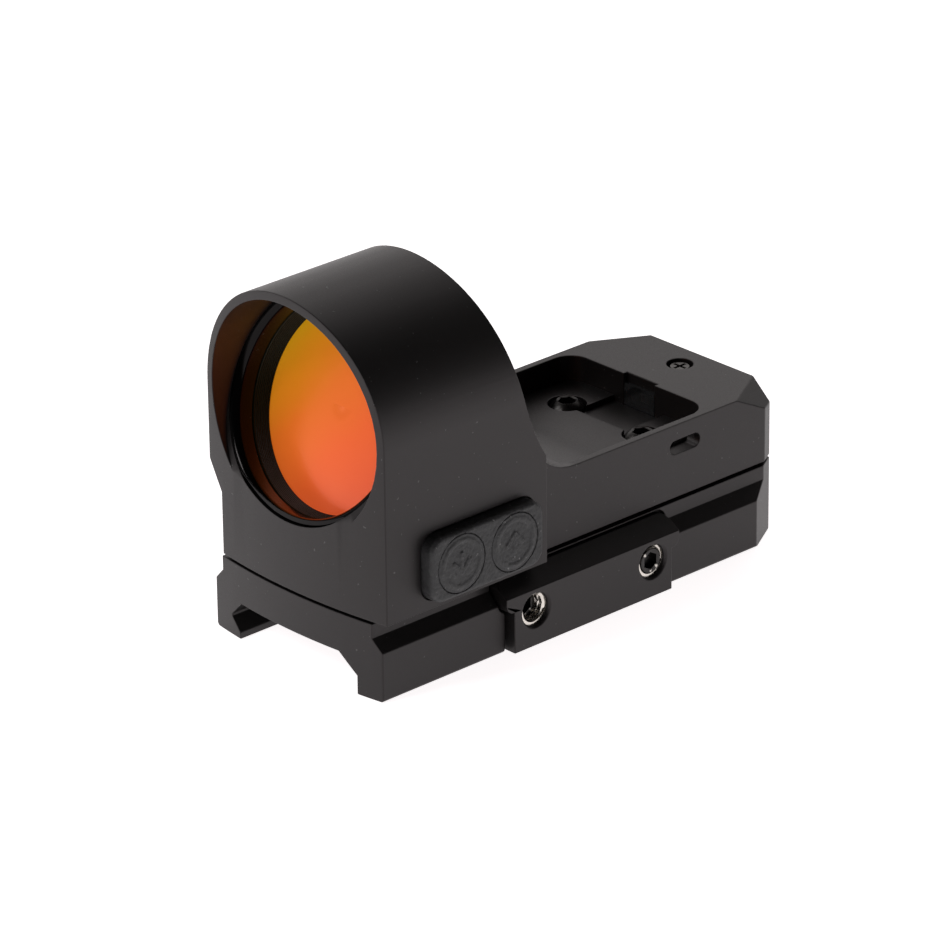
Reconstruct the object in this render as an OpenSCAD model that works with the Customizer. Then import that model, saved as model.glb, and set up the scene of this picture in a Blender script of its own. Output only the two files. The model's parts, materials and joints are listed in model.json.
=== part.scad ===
// Open reflex red dot sight on a rail clamp base.
// +X is the button side, -Y is forward (out of the hood), +Z is up.
// The origin lies on the face that sits on the rail, in the optical centre plane,
// 2.83 mm ahead of the middle of the base.

/* [Base] */
// Rear end of the base and of the tray, along Y
rear_y = 36.7; // [36.4:0.1:37.5]
// Half width of the base's legs
leg_half = 14.75; // [14.6:0.05:15]
// Half width of the base's top
base_half = 13.2; // [13:0.05:13.4]
// Height of the joint between base and housing above the rail seat
seam_z = 5.3; // [5.2:0.05:5.5]
// Height of the legs' lower edge
leg_z = -4.7; // [-4.8:0.05:-4.6]
// Height of the far groove's lip, where it meets the leg's inner face
groove_lip_z = -3.8; // [-3.9:0.05:-3.7]

/* [Front] */
// Front of the hood and the base on the centre line, along Y
front_y = -31.04; // [-31.3:0.02:-30.8]
// Radius of the front face's bow, seen from above
bow_r = 86; // [80:1:100]

/* [Hood] */
// Radius of the hood's round top, and its half width
hood_r = 15.45; // [15.3:0.05:15.7]
// Height of the hood's centre
hood_z = 26.9; // [26.5:0.1:27.2]
// Radius of the front opening
mouth_r = 14.3; // [14:0.05:14.4]
// Radius of the clear bore behind the lens
rear_bore_r = 12.4; // [12:0.1:12.6]
// Rear end of the button housing, along Y
slab_rear = -4.2; // [-4.4:0.1:-4]

/* [Lens] */
// Backward lean of the lens
lens_lean = 21.8; // [20:0.1:23]
// Where the lens cell's axis meets its front plane, along Y
cell_y = -26.26; // [-26.4:0.02:-26.1]
// Where the lens cell's axis meets its front plane, along Z
cell_z = 27.5; // [27.4:0.05:27.6]
// Depth of the lens cell along its axis
cell_depth = 8.2; // [8:0.1:8.4]
// Radius of the lens surfaces
lens_curve = 96; // [80:1:140]
// Thickness of the lens
lens_thick = 2.6; // [2.2:0.1:2.8]

/* [Tray] */
// Half width of the tray
tray_half = 12.95; // [12.8:0.05:13]
// Height of the tray's rim
rim_z = 14.86; // [14.7:0.02:15]
// Height of the tray's floor
floor_z = 11.5; // [11.3:0.1:11.6]
// Half width of the open pocket
pocket_half = 11.9; // [11.7:0.05:12]
// Rear wall of the open pocket, along Y
pocket_rear = 25.9; // [25.7:0.1:26]
// Where the ramp meets the floor, along Y
ramp_foot = 11.4; // [11:0.1:12]
// Where the ramp meets the rim, along Y
ramp_top = 1.6; // [1.2:0.1:2]
// Turn of the rear corner faces away from X
corner_turn = 30; // [28:1:32]

/* [Buttons] */
// Middle of the button pad, along Y
pad_y = -15.2; // [-15.4:0.1:-15]
// Middle of the button pad, along Z
pad_z = 10.65; // [10.6:0.05:10.7]
// Length of the button pad
pad_length = 17.8; // [17.4:0.1:18]
// Height of the button pad
pad_height = 8.3; // [8.2:0.1:8.5]
// Distance of the pad's outer face from the centre plane
pad_face = 17.2; // [17:0.05:17.4]
// Radius of a button
button_r = 3.55; // [3.4:0.05:3.6]
// Distance between the two buttons
button_pitch = 8.4; // [8.2:0.1:8.6]

/* [Clamp] */
// Middle of the clamp bar, along Y
clamp_y = 3; // [2.8:0.1:3.2]
// Length of the clamp bar
clamp_length = 25.9; // [25.5:0.1:26.3]
// Outer face of the clamp bar, along X
clamp_face = 15.9; // [15.8:0.05:16]
// Distance between the two cross screws
cross_pitch = 19.2; // [19:0.1:19.6]
// Height of the cross screws' axes
cross_z = -0.05; // [-0.1:0.01:0]
// Radius of the cross screws' thread
cross_r = 2; // [1.9:0.05:2]

/* [Electronics] */
// Middle of the battery, along Y
cell_mid_y = -13.2; // [-13.4:0.1:-13]
// Radius of the coin cell
battery_r = 10; // [10:0.1:10]
// Thickness of the coin cell
battery_thick = 3.2; // [3:0.1:3.2]
// Distance of each mounting screw from the centre plane
mount_screw_x = 6.5; // [6.4:0.1:6.6]
// Where the mounting screws are, along Y
mount_screw_y = 20; // [19.8:0.1:20.2]

/* [Hidden] */
$fn = 96;

black_anodised = [0.20, 0.19, 0.19];
black_rubber = [0.15, 0.15, 0.15];
steel = [0.72, 0.70, 0.68];
board_green = [0.10, 0.32, 0.16];

far = 60;
gap = 0.3;
fit_gap = 0.05;

// Outline points of the curve that sweeps from the hood's top down to the tray's rim
sweep_top = [-11.35, hood_z + hood_r + 0.3];
sweep_pull_top = [-8.1, 31];
sweep_pull_low = [-7.2, 15];
sweep_low = [3, rim_z];
sweep_steps = 24;

shadow_in = 0.7;
shadow_high = 0.3;
groove_deep_x = -11.3;
seat_half_far = -9.4;
seat_half_near = 8;
relief_x = 10.8;

corner_y = 34.68;
corner_bevel = 2.49;

front_cross_y = clamp_y + 0.15 - cross_pitch / 2;
rear_cross_y = clamp_y + 0.15 + cross_pitch / 2;
lip_over = 1.25;
lip_from_z = 0.7;
clamp_back = 12.6;
clamp_top_z = 4.45;
clamp_shoulder_z = 2.7;
clamp_low_z = leg_z + 0.05;

mount_head_r = 2.15;
mount_head_z = 9.8;
mount_head_top = 12.45;
mount_dome = 1.15;
recess_z = 10.75;
window_half = 2.65;
window_top = 13.6;

locating_x = 10.5;
locating_y = -27;

board_z = 9.4;
board_thick = 0.6;
board_r = 9.6;
battery_z = seam_z + 0.05;
seal_r = 11.55;
seal_wire = 0.36;

cell_fit_r = mouth_r - 0.02;
ring_bore_r = 13.25;
ring_depth = 2.92;

slab_x = hood_r;
pad_back = 14.7;
switch_wall_x = 12.6;
button_flange_r = button_r + 0.25;
button_back = 14.75;
button_front_y = pad_y - button_pitch / 2;
button_rear_y = pad_y + button_pitch / 2;

stage_floor = 6.6;
stage_top = 8.9;
stage_axis_z = 7.6;
rod_r = 0.5;
front_rod_y = 28.5;
rear_rod_y = 34.4;
windage_y = 30.6;
elevation_y = 32.9;
guide_pin_x = 3.6;
guide_pin_y = 32.2;
adjuster_r = 0.8;
cover_screw_x = 8.7;
cover_screw_y = 32.6;
cavity_half = 7.5;
cavity_front = 27.2;
cavity_rear = 35.3;
cavity_top = 12.9;
led_z = 11.9;
emitter_board_y = 27.5;
emitter_block_y = 28;

function bezier(t, a, b, c, d) =
    pow(1 - t, 3) * a + 3 * t * pow(1 - t, 2) * b + 3 * t * t * (1 - t) * c + pow(t, 3) * d;

function sweep_points() = [
    for (i = [0 : sweep_steps])
        bezier(i / sweep_steps, sweep_top, sweep_pull_top, sweep_pull_low, sweep_low)
];

// ---- helpers ----

module block(low, high) {
    translate(low) cube(high - low);
}

module rod_x(x0, x1, y, z, r) {
    translate([x0, y, z]) rotate([0, 90, 0]) cylinder(r = r, h = x1 - x0);
}

module rod_y(y0, y1, x, z, r) {
    translate([x, y1, z]) rotate([90, 0, 0]) cylinder(r = r, h = y1 - y0);
}

module rod_z(z0, z1, x, y, r) {
    translate([x, y, z0]) cylinder(r = r, h = z1 - z0);
}

// A side outline of [y, z] points, extruded along X
module side_plate(points, x0, x1) {
    translate([x0, 0, 0]) rotate([90, 0, 90]) linear_extrude(x1 - x0) polygon(points);
}

// A front outline of [x, z] points, extruded along Y
module front_plate(points, y0, y1) {
    translate([0, y1, 0]) rotate([90, 0, 0]) linear_extrude(y1 - y0) polygon(points);
}

// A rectangle with round corners, middle at the origin
module round_rectangle(w, h, r) {
    square([w - 2 * r, h], center = true);
    square([w, h - 2 * r], center = true);
    for (sx = [-1, 1], sy = [-1, 1])
        translate([sx * (w / 2 - r), sy * (h / 2 - r)]) circle(r);
}

// A rounded bar whose outline lies in the YZ plane, extruded along X
module round_bar_x(x0, x1, y, z, length, height, r) {
    translate([x0, y, z]) rotate([90, 0, 90]) linear_extrude(x1 - x0)
        round_rectangle(length, height, r);
}

// Local Z runs back along the lens cell's axis
module lens_frame() {
    translate([0, cell_y, cell_z]) rotate([-(90 + lens_lean), 0, 0]) children();
}

module hex_socket(r, depth) {
    cylinder(r = r, h = depth, $fn = 6);
}

// Everything behind the bowed front face, set back by an inset
module behind_front(inset) {
    translate([0, front_y + bow_r, -far]) cylinder(r = bow_r - inset, h = 2 * far, $fn = 720);
}

// Everything outside the two slanted rear corners, up to the bevel above them
module rear_corners() {
    for (side = [0, 1]) mirror([side, 0, 0])
        translate([tray_half, corner_y, 0]) rotate([0, 0, corner_turn]) rotate([90, 0, 0])
            linear_extrude(far, center = true) polygon([
                [0, -20], [15, -20], [15, rim_z + 3], [-corner_bevel - 3, rim_z + 3],
                [0, rim_z - corner_bevel]
            ]);
}

// A coil spring along Z with flat rings of straight sections
module coil(mean_r, wire_r, height, turns) {
    ring = 14;
    sides = 6;
    steps = ring * turns;
    points = [
        for (i = [0 : steps], j = [0 : sides - 1])
            let (a = 360 * i / ring, b = 360 * j / sides, r = mean_r + wire_r * cos(b))
            [r * cos(a), r * sin(a),
             wire_r + (height - 2 * wire_r) * i / steps + wire_r * sin(b)]
    ];
    faces = concat(
        [[for (j = [0 : sides - 1]) j]],
        [[for (j = [0 : sides - 1]) steps * sides + sides - 1 - j]],
        [
            for (i = [0 : steps - 1], j = [0 : sides - 1])
                let (k = (j + 1) % sides)
                [i * sides + j, (i + 1) * sides + j, (i + 1) * sides + k, i * sides + k]
        ]
    );
    polyhedron(points, faces);
}

// ---- housing ----

module hood_outer() {
    intersection() {
        translate([0, slab_rear, 0]) rotate([90, 0, 0]) linear_extrude(far) {
            translate([0, hood_z]) circle(hood_r);
            polygon([
                [hood_r, hood_z], [hood_r, seam_z], [-tray_half, seam_z],
                [-tray_half, 13.3], [-hood_r, 16.8], [-hood_r, hood_z]
            ]);
        }
        side_plate(concat([[-far, seam_z], [-far, far]], sweep_points(), [[far, seam_z]]), -20, 20);
        behind_front(0);
    }
}

module tray_outer() {
    difference() {
        side_plate(concat(
            [[slab_rear - 2, seam_z], [slab_rear - 2, 20]],
            [for (p = sweep_points()) if (p[1] < 20) p],
            [[rear_y, rim_z], [rear_y, seam_z]]
        ), -tray_half, tray_half);
        rear_corners();
    }
}

module optical_bores() {
    // Mouth, straight back as far as the lens cell's slanted front plane
    intersection() {
        rod_y(-40, -5, 0, hood_z, mouth_r);
        lens_frame() translate([0, 0, -far + 0.01]) cube([far, far, 2 * far], center = true);
    }
    lens_frame() cylinder(r = mouth_r, h = cell_depth);
    rod_y(cell_y, 6, 0, hood_z, rear_bore_r);
}

module pocket() {
    // The pocket with its ramp, open at the top
    intersection() {
        translate([0, 0, floor_z]) linear_extrude(far)
            translate([0, pocket_rear - 20]) round_rectangle(2 * pocket_half, 40, 2.75);
        side_plate([
            [ramp_foot, floor_z], [pocket_rear + 1, floor_z], [pocket_rear + 1, rim_z + 2],
            [ramp_top, rim_z + 2], [ramp_top, rim_z]
        ], -20, 20);
    }
    // Recess in front of the emitter window
    block([-4.3, mount_screw_y - 0.6, recess_z], [4.3, pocket_rear, floor_z + 1]);
    // Slot that the window plate drops into, seen as a notch in the rim
    block([-window_half, pocket_rear - 0.01, recess_z - 0.2],
          [window_half, pocket_rear + 0.6, rim_z + 1]);
    // Light opening from the window to the adjuster cavity
    block([0.4 - window_half, pocket_rear, recess_z + 0.1],
          [window_half - 0.4, cavity_front + 0.1, cavity_top]);
    // Recesses and holes for the mounting screws
    for (x = [-mount_screw_x, mount_screw_x]) {
        rod_z(mount_head_z, floor_z + 1, x, mount_screw_y, mount_head_r + 0.25);
        rod_z(seam_z - 1, mount_head_z + 0.1, x, mount_screw_y, 1.3);
    }
    // Drain slot through the near wall
    round_bar_x(pocket_half - 1, tray_half + 1, 21, 11.9, 5, 1.8, 0.88);
}

module battery_bay() {
    rod_z(seam_z - 1, 8.9, 0, cell_mid_y, battery_r + 0.3);
    rod_z(8.8, board_z + board_thick, 0, cell_mid_y, board_r + gap);
    rod_z(board_z, board_z + board_thick + 0.9, 0, cell_mid_y, board_r - 0.6);
    // Groove for the seal
    translate([0, cell_mid_y, seam_z - 1]) difference() {
        cylinder(r = seal_r + 0.5, h = 1.75);
        translate([0, 0, -1]) cylinder(r = seal_r - 0.5, h = 4);
    }
    // Lead tunnel to the emitter, and lead slot to the switches
    block([-1.8, cell_mid_y, 9.6], [1.8, cavity_front + 0.1, recess_z - 0.4]);
    block([8, -15.2, 9.4], [switch_wall_x + 0.1, -12.2, 10.4]);
    for (x = [-locating_x, locating_x]) rod_z(seam_z - 1, 8.2, x, locating_y, 1.02);
}

module pad_seat() {
    round_bar_x(pad_back, slab_x + 2, pad_y, pad_z, pad_length + 0.3, pad_height + 0.3, 2.15);
    round_bar_x(switch_wall_x, pad_back + 0.1, pad_y, pad_z, pad_length - 1.8, pad_height - 1.4, 1.4);
}

module adjuster_cavity() {
    block([-cavity_half, cavity_front, seam_z - 1], [cavity_half, cavity_rear, cavity_top]);
    block([-10.05, 26.75, seam_z - 1], [10.05, 35.85, seam_z + 0.65]);
    for (x = [-cover_screw_x, cover_screw_x]) rod_z(seam_z, 8.2, x, cover_screw_y, 0.62);
    for (y = [front_rod_y, rear_rod_y]) rod_x(-9.6, 9.6, y, stage_axis_z, rod_r + 0.02);
    rod_x(-tray_half - 1, 9.2, windage_y, stage_axis_z, adjuster_r + fit_gap);
    rod_x(-tray_half - 1, -11.4, windage_y, stage_axis_z, 1.75);
    rod_z(cavity_top - 0.1, rim_z + 1, 0, elevation_y, 1.65);
}

module housing() {
    color(black_anodised) difference() {
        union() {
            hood_outer();
            tray_outer();
        }
        optical_bores();
        pocket();
        battery_bay();
        pad_seat();
        adjuster_cavity();
    }
}

// ---- lens group ----

module lens() {
    dome = 4.3;
    color([0.95, 0.48, 0.15]) lens_frame() difference() {
        intersection() {
            cylinder(r = mouth_r - 0.05, h = cell_depth - 0.02);
            translate([0, 0, dome + lens_curve]) sphere(lens_curve, $fn = 360);
        }
        translate([0, 0, dome + lens_curve]) sphere(lens_curve - lens_thick, $fn = 360);
    }
}

module lens_retaining_ring() {
    color(black_anodised) intersection() {
        lens_frame() rotate_extrude() polygon([
            [cell_fit_r, 0], [mouth_r - 0.45, 0], [ring_bore_r, ring_depth - 0.02],
            [cell_fit_r, ring_depth - 0.02]
        ]);
        // Its lower front edge stays behind the hood's bowed face
        behind_front(0.3);
    }
}

module lens_spacer() {
    color([0.13, 0.15, 0.10]) lens_frame() rotate_extrude() polygon([
        [cell_fit_r, ring_depth], [ring_bore_r, ring_depth], [12.6, 5.0], [12.75, 5.1],
        [cell_fit_r, 5.3]
    ]);
}

// ---- base and clamp ----

module base_outer() {
    bevel = 1.55;
    edge = 0.3;
    intersection() {
        behind_front(0);
        difference() {
            front_plate([
                [-base_half, seam_z], [base_half, seam_z],
                [base_half, 1.62 + bevel], [leg_half, 1.62],
                [leg_half, leg_z + edge], [leg_half - edge, leg_z],
                [edge - leg_half, leg_z], [-leg_half, leg_z + edge],
                [-leg_half, 1.62], [-base_half, 1.62 + bevel]
            ], -far, rear_y);
            rear_corners();
        }
    }
}

// The shadow groove all round the base's top edge
module shadow_groove() {
    difference() {
        block([-far, -far, seam_z - shadow_high], [far, far, seam_z + 1]);
        intersection() {
            behind_front(shadow_in);
            difference() {
                block([shadow_in - base_half, -far, 0],
                      [base_half - shadow_in, rear_y - shadow_in, far]);
                translate([0, -shadow_in / sin(corner_turn), 0]) rear_corners();
            }
        }
    }
}

module rail_channel() {
    front_plate([
        [-9.7, leg_z - 1], [-9.7, groove_lip_z], [groove_deep_x, groove_lip_z + 1.6],
        [groove_deep_x, -1.9], [seat_half_far, 0], [seat_half_near, 0],
        [relief_x, -2.3], [relief_x, leg_z - 1]
    ], front_y - 1, rear_y + 1);
}

module rail_base() {
    lip_end = clamp_length / 2 + lip_over + gap;
    color(black_anodised) difference() {
        base_outer();
        shadow_groove();
        rail_channel();
        // Window through the near leg, and the wider recess above it
        block([relief_x - 0.1, clamp_y - clamp_length / 2 - 0.5, leg_z - 1],
              [clamp_face + 1, clamp_y + clamp_length / 2 + 0.5, 0]);
        block([clamp_back - gap, clamp_y - clamp_length / 2 - 0.5, -0.1],
              [clamp_face + 1, clamp_y + clamp_length / 2 + 0.5, 1]);
        round_bar_x(clamp_back - gap, clamp_face + 1, clamp_y, (clamp_top_z + gap + 0.4) / 2,
                    2 * lip_end, clamp_top_z + gap - 0.4, 1.5);
        for (y = [front_cross_y, rear_cross_y]) {
            rod_x(-leg_half - 1, clamp_face, y, cross_z, cross_r + 0.08);
            rod_x(-leg_half - 1, -12.7, y, cross_z, 2.95);
        }
        for (x = [-mount_screw_x, mount_screw_x])
            rod_z(0.8, seam_z + 1, x, mount_screw_y, 1.25);
        for (x = [-locating_x, locating_x]) rod_z(2.5, seam_z + 1, x, locating_y, 1.02);
    }
}

module clamp_bar() {
    half = clamp_length / 2;
    jaw = [[relief_x + 0.15, -0.3], [relief_x + 0.15, -2.5], [9.7, groove_lip_z + 0.05],
           [9.7, clamp_low_z]];
    color(black_anodised) difference() {
        union() {
            front_plate(concat([
                [clamp_face, clamp_low_z], [clamp_face, clamp_shoulder_z],
                [base_half + 0.05, clamp_top_z], [clamp_back, clamp_top_z], [clamp_back, -0.3]
            ], jaw), clamp_y - half, clamp_y + half);
            intersection() {
                front_plate([
                    [clamp_face, lip_from_z], [clamp_face, clamp_shoulder_z],
                    [base_half + 0.05, clamp_top_z], [clamp_back, clamp_top_z],
                    [clamp_back, lip_from_z]
                ], clamp_y - half - lip_over, clamp_y + half + lip_over);
                round_bar_x(clamp_back - 1, clamp_face + 1, clamp_y,
                            (clamp_top_z + lip_from_z) / 2, 2 * (half + lip_over),
                            clamp_top_z - lip_from_z, 1.2);
            }
        }
        for (y = [front_cross_y, rear_cross_y]) {
            rod_x(9, clamp_face + 1, y, cross_z, cross_r + fit_gap);
            translate([clamp_face - 0.3, y, cross_z]) rotate([0, 90, 0])
                cylinder(r1 = cross_r + fit_gap, r2 = cross_r + 0.45, h = 0.4);
        }
    }
}

// A cross screw along +X whose head sits in the far leg
module cross_screw(y, tip_x) {
    color(steel) difference() {
        union() {
            rod_x(-14.55, -12.72, y, cross_z, 2.75);
            rod_x(-12.8, tip_x - 0.35, y, cross_z, cross_r);
            translate([tip_x - 0.35, y, cross_z]) rotate([0, 90, 0])
                cylinder(r1 = cross_r, r2 = cross_r - 0.35, h = 0.35);
        }
        translate([-14.6, y, cross_z]) rotate([0, 90, 0]) hex_socket(1.45, 1.3);
        translate([tip_x - 0.9, y, cross_z]) rotate([0, 90, 0]) hex_socket(1.15, 1);
    }
}

module front_cross_screw() {
    cross_screw(front_cross_y, 13.9);
}

module rear_cross_screw() {
    cross_screw(rear_cross_y, 15.5);
}

// Button head screws whose domes stand proud of the tray's floor
module mounting_screws() {
    dome_r = (pow(mount_head_r, 2) + pow(mount_dome, 2)) / (2 * mount_dome);
    color(steel) for (x = [-mount_screw_x, mount_screw_x]) difference() {
        union() {
            intersection() {
                rod_z(mount_head_z, mount_head_top, x, mount_screw_y, mount_head_r);
                translate([x, mount_screw_y, mount_head_top - dome_r]) sphere(dome_r);
            }
            rod_z(1, mount_head_z + 0.1, x, mount_screw_y, 1.22);
        }
        translate([x, mount_screw_y, mount_head_top - 1.3]) hex_socket(1.15, 2);
    }
}

module locating_pins() {
    color(steel) for (x = [-locating_x, locating_x]) rod_z(2.52, 8, x, locating_y, 1);
}

// ---- electronics ----

module coin_battery() {
    color([0.78, 0.78, 0.76]) {
        rod_z(battery_z, battery_z + battery_thick - 0.4, 0, cell_mid_y, battery_r);
        rod_z(battery_z + battery_thick - 0.41, battery_z + battery_thick, 0, cell_mid_y, 8.9);
    }
}

module battery_seal() {
    color(black_rubber) translate([0, cell_mid_y, seam_z + seal_wire])
        rotate_extrude() translate([seal_r, 0]) circle(seal_wire);
}

module battery_spring() {
    low = battery_z + battery_thick;
    color([0.80, 0.66, 0.30]) side_plate([
        [cell_mid_y - 6, board_z], [cell_mid_y - 6, board_z - 0.2],
        [cell_mid_y - 3, board_z - 0.2], [cell_mid_y + 1.5, low + 0.01],
        [cell_mid_y + 3.5, low + 0.25], [cell_mid_y + 3.5, low + 0.45],
        [cell_mid_y + 1.5, low + 0.21], [cell_mid_y - 2.9, board_z]
    ], -2, 2);
}

// A strip of spring metal that follows the bay's wall and touches the cell's rim
module battery_side_contact() {
    color([0.80, 0.66, 0.30]) intersection() {
        translate([0, cell_mid_y, 5.8]) difference() {
            cylinder(r = battery_r + 0.24, h = 3.05);
            translate([0, 0, -1]) cylinder(r = battery_r + 0.04, h = 6);
        }
        block([-14, cell_mid_y - 2.5, 5], [-5, cell_mid_y + 2.5, 10]);
    }
}

module main_board() {
    color(board_green) rod_z(board_z, board_z + board_thick, 0, cell_mid_y, board_r);
}

module board_components() {
    top = board_z + board_thick;
    color([0.08, 0.08, 0.08]) {
        block([-4.6, cell_mid_y - 5, top], [-1.6, cell_mid_y - 2, top + 0.7]);
        for (i = [0 : 2])
            block([1.2 + 1.6 * i, cell_mid_y - 4.4, top], [2 + 1.6 * i, cell_mid_y - 2.9, top + 0.45]);
    }
}

module button_flex() {
    top = board_z + board_thick;
    color([0.75, 0.45, 0.12])
        block([6.5, -14.7, top + 0.01], [switch_wall_x, -12.7, top + 0.16]);
}

module emitter_flex() {
    top = board_z + board_thick;
    color([0.75, 0.45, 0.12])
        block([-1.4, cell_mid_y + 6.5, top + 0.01], [1.4, cavity_front - 0.1, top + 0.16]);
}

module switch_board() {
    color(board_green) round_bar_x(switch_wall_x, switch_wall_x + board_thick, pad_y, pad_z,
                                   pad_length - 2.2, pad_height - 1.8, 1.2);
}

module tact_switches() {
    for (y = [button_front_y, button_rear_y]) color([0.6, 0.6, 0.6]) {
        block([switch_wall_x + board_thick, y - 1.9, pad_z - 1.6],
              [switch_wall_x + 1.4, y + 1.9, pad_z + 1.6]);
        rod_x(switch_wall_x + 1.3, switch_wall_x + 1.75, y, pad_z, 0.85);
    }
}

// ---- button pad ----

module button_pad() {
    color(black_rubber) difference() {
        union() {
            round_bar_x(pad_back, pad_face - 0.3, pad_y, pad_z, pad_length, pad_height, 2);
            round_bar_x(pad_face - 0.4, pad_face, pad_y, pad_z, pad_length - 0.6, pad_height - 0.6, 1.7);
        }
        for (y = [button_front_y, button_rear_y]) {
            rod_x(pad_back - 1, pad_face + 1, y, pad_z, button_r + 0.1);
            rod_x(pad_back - 1, 15.9, y, pad_z, button_flange_r + 0.1);
        }
    }
}

module button(y) {
    color(black_rubber) {
        rod_x(15.3, pad_face + 0.12, y, pad_z, button_r);
        rod_x(15.3, 15.8, y, pad_z, button_flange_r);
        rod_x(button_back, 15.4, y, pad_z, 1.2);
    }
}

module up_button() {
    button(button_rear_y);
}

module down_button() {
    button(button_front_y);
}

// ---- emitter and its adjusters ----

module windage_carriage() {
    color([0.62, 0.52, 0.28]) difference() {
        block([-5.6, 27.7, stage_floor], [5.6, 35, stage_top]);
        for (y = [front_rod_y, rear_rod_y]) rod_x(-7, 7, y, stage_axis_z, rod_r + fit_gap);
        rod_x(-7, 7, windage_y, stage_axis_z, adjuster_r + fit_gap);
        rod_z(5, 10, 0, elevation_y, adjuster_r + fit_gap);
        for (x = [-guide_pin_x, guide_pin_x])
            rod_z(stage_floor + 0.3, stage_top + 1, x, guide_pin_y, 0.5);
    }
}

module windage_rods() {
    color(steel) for (y = [front_rod_y, rear_rod_y]) rod_x(-9.5, 9.5, y, stage_axis_z, rod_r);
}

module windage_screw() {
    color(steel) difference() {
        union() {
            rod_x(-12.75, -11.5, windage_y, stage_axis_z, 1.5);
            rod_x(-11.6, 9, windage_y, stage_axis_z, adjuster_r);
        }
        block([-13, windage_y - 0.2, stage_axis_z - 2], [-12.2, windage_y + 0.2, stage_axis_z + 2]);
    }
}

// A retaining ring round an adjuster screw, along Z
module screw_clip() {
    difference() {
        cylinder(r = 1.5, h = 0.3);
        translate([0, 0, -1]) cylinder(r = adjuster_r, h = 3);
        translate([0.5, -0.45, -1]) cube([2, 0.9, 3]);
    }
}

module windage_clip() {
    color(steel) translate([6.9, windage_y, stage_axis_z]) rotate([0, 90, 0]) screw_clip();
}

module windage_spring() {
    color(steel) translate([-cavity_half + 0.05, windage_y, stage_axis_z]) rotate([0, 90, 0])
        coil(1.2, 0.16, 1.8, 3);
}

module emitter_block() {
    color([0.62, 0.52, 0.28]) difference() {
        block([-4.7, emitter_block_y, 10.3], [4.7, 34.4, 12.1]);
        for (x = [-guide_pin_x, guide_pin_x])
            rod_z(9, 13, x, guide_pin_y, 0.5 + fit_gap);
        rod_z(9, 13, 0, elevation_y, adjuster_r + fit_gap);
    }
}

module elevation_pins() {
    color(steel) for (x = [-guide_pin_x, guide_pin_x])
        rod_z(stage_floor + 0.32, 12.6, x, guide_pin_y, 0.48);
}

module elevation_screw() {
    color(steel) difference() {
        union() {
            rod_z(13.35, 14.55, 0, elevation_y, 1.2);
            rod_z(6.05, 13.4, 0, elevation_y, adjuster_r);
            rod_z(stage_top + 0.03, stage_top + 0.3, 0, elevation_y, 1.3);
        }
        for (turn = [0, 90]) translate([0, elevation_y, 14.3]) rotate([0, 0, turn])
            cube([1.9, 0.35, 1.2], center = true);
    }
}

module elevation_clip() {
    color(steel) translate([0, elevation_y, 6.25]) screw_clip();
}

module elevation_spring() {
    color(steel) translate([0, elevation_y, stage_top + 0.32]) coil(1.25, 0.14, 1.06, 2);
}

module emitter_board() {
    color(board_green) block([-2.6, emitter_board_y, 9.95], [2.6, emitter_block_y, 12.3]);
}

module emitter_led() {
    color([0.9, 0.86, 0.7]) {
        block([-0.8, cavity_front + 0.05, led_z - 0.6], [0.8, emitter_board_y, led_z + 0.6]);
        rod_y(cavity_front - 0.2, cavity_front + 0.06, 0, led_z, 0.4);
    }
}

module emitter_window() {
    color([0.25, 0.27, 0.3, 0.6])
        block([fit_gap - window_half, pocket_rear + 0.05, recess_z - 0.15],
              [window_half - fit_gap, pocket_rear + 0.55, window_top]);
}

module adjuster_cover() {
    color(black_anodised) difference() {
        block([-10, 26.8, seam_z + 0.02], [10, 35.8, seam_z + 0.6]);
        for (x = [-cover_screw_x, cover_screw_x]) {
            rod_z(seam_z - 1, seam_z + 2, x, cover_screw_y, 0.65);
            translate([x, cover_screw_y, seam_z]) cylinder(r1 = 1.25, r2 = 0.65, h = 0.6);
        }
    }
}

module cover_screws() {
    color(steel) for (x = [-cover_screw_x, cover_screw_x]) difference() {
        union() {
            translate([x, cover_screw_y, seam_z + 0.03]) cylinder(r1 = 1.17, r2 = 0.6, h = 0.57);
            rod_z(seam_z + 0.5, 8, x, cover_screw_y, 0.6);
        }
        block([x - 1.3, cover_screw_y - 0.15, seam_z - 0.1],
              [x + 1.3, cover_screw_y + 0.15, seam_z + 0.3]);
    }
}

housing();
lens();
lens_retaining_ring();
lens_spacer();
rail_base();
clamp_bar();
front_cross_screw();
rear_cross_screw();
mounting_screws();
locating_pins();
coin_battery();
battery_seal();
battery_spring();
battery_side_contact();
main_board();
board_components();
button_flex();
emitter_flex();
button_pad();
up_button();
down_button();
switch_board();
tact_switches();
windage_carriage();
windage_rods();
windage_screw();
windage_clip();
windage_spring();
emitter_block();
elevation_pins();
elevation_screw();
elevation_clip();
elevation_spring();
emitter_board();
emitter_led();
emitter_window();
adjuster_cover();
cover_screws();
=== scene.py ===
"""Looks for the reflex red dot finder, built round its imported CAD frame. Lengths are in metres."""
import json
import math

import bmesh
import bpy
from mathutils import Matrix, Vector, noise


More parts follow.
